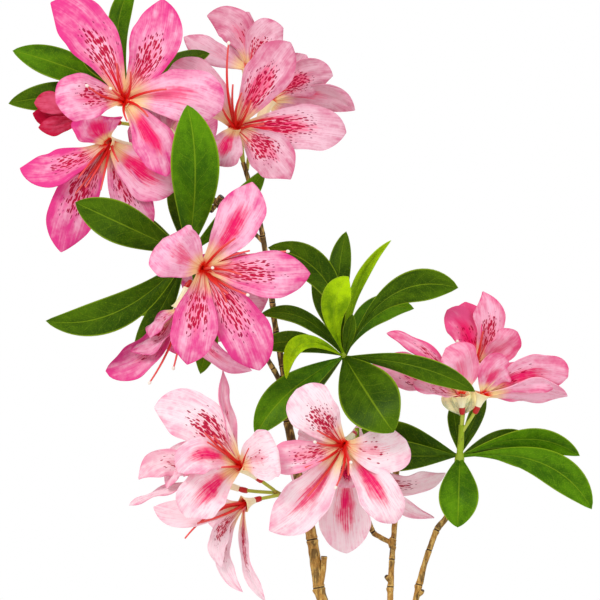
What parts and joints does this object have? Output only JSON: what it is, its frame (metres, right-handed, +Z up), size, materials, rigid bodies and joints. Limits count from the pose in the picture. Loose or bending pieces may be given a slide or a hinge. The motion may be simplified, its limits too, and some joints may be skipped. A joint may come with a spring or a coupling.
{
  "type": "azalea shrub",
  "caption": "Small azalea shrub with woody stems from one foot, whorls of glossy leaves and large open pink blooms.",
  "frame": {"origin": "middle of the flat cut under the foot of the stems, at ground level", "axes": "+Z up along the stems, -Y to the front that most blooms face, +X to the right seen from the front"},
  "size_m": [0.2929, 0.1114, 0.3926],
  "materials": {
    "bark": "matte brown bark with darker rings",
    "leaf": "glossy dark green leaf with paler midrib",
    "petal_vivid": "satin vivid pink petal with magenta blotches",
    "petal_dusty": "satin dusty pink petal with crimson speckles",
    "petal_pale": "satin pale blush petal with a pink middle",
    "petal_mid": "satin mid pink petal",
    "petal_bud": "satin dark rose bud"
  },
  "bodies": {
    "root": {"stem_main": "bark", "stem_middle": "bark", "stem_right": "bark", "bough_centre": "bark", "bough_left": "bark", "bough_upper_left": "bark", "twig_low": "bark", "twig_pale": "bark", "leaves_top_left": "leaf", "leaves_left": "leaf", "leaves_centre": "leaf", "leaves_right": "leaf", "bloom_top_left": "petal_vivid", "bloom_left": "petal_vivid", "bloom_centre": "petal_vivid", "bloom_centre_rear": "petal_vivid", "bloom_back_top": "petal_vivid", "bloom_back_centre": "petal_vivid", "bloom_top": "petal_dusty", "bloom_top_rear": "petal_dusty", "bloom_top_right": "petal_dusty", "bloom_low_centre": "petal_pale", "bloom_low_rear": "petal_pale", "bloom_low_left": "petal_pale", "bloom_far_left": "petal_pale", "bloom_hanging": "petal_pale", "bloom_back_low": "petal_pale", "bloom_right_left": "petal_mid", "bloom_right_top": "petal_mid", "bloom_right": "petal_mid", "bud_top_left": "petal_bud"}
  },
  "joints": []
}
